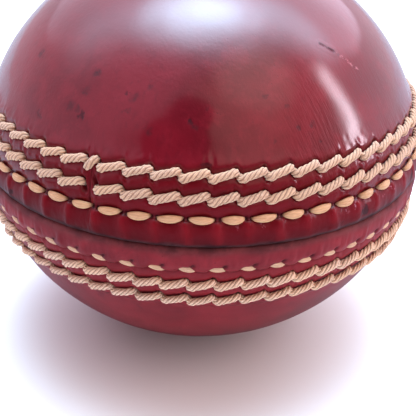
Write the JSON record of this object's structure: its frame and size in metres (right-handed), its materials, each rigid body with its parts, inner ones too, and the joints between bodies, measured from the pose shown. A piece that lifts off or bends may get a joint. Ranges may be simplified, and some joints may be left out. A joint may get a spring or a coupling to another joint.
{
  "type": "cricket ball",
  "caption": "Sewn leather ball with a raised seam around its middle, rows of twisted-cord and waxed stitches, and a wound cork core inside.",
  "frame": {"origin": "centre of the ball, on the seam plane", "axes": "+Z through the pole of the upper cup, square to the seam plane; the upper cup's quarter seam lies in the YZ plane and the lower cup's in the XZ plane"},
  "size_m": [0.073, 0.073, 0.0652],
  "materials": {
    "leather_upper": "lacquered, polished, lightly worn",
    "leather_lower": "lacquered, slightly duller",
    "twisted_cord": "twisted linen cord, matt",
    "waxed_thread": "flat waxed linen, satin",
    "hidden_thread": "linen thread, matt",
    "lining_leather": "undyed split leather, matt",
    "yarn": "worsted wool yarn, tightly wound",
    "cork": "granular natural cork, matt"
  },
  "bodies": {
    "root": {"quarter_upper_right": "leather_upper", "quarter_upper_left": "leather_upper", "quarter_lower_front": "leather_lower", "quarter_lower_back": "leather_lower", "cord_upper_outer": "twisted_cord", "cord_upper_inner": "twisted_cord", "closing_upper": "waxed_thread", "closing_lower": "waxed_thread", "closing_cross_runs": "waxed_thread", "cord_lower_inner": "twisted_cord", "cord_lower_outer": "twisted_cord", "hidden_thread_upper": "hidden_thread", "hidden_thread_lower": "hidden_thread", "lining_upper": "lining_leather", "lining_lower": "lining_leather", "winding_5": "yarn", "cork_slips_4": "cork", "winding_4": "yarn", "cork_slips_3": "cork", "winding_3": "yarn", "cork_slips_2": "cork", "winding_2": "yarn", "cork_slips_1": "cork", "winding_1": "yarn", "cork_core": "cork"}
  },
  "joints": []
}
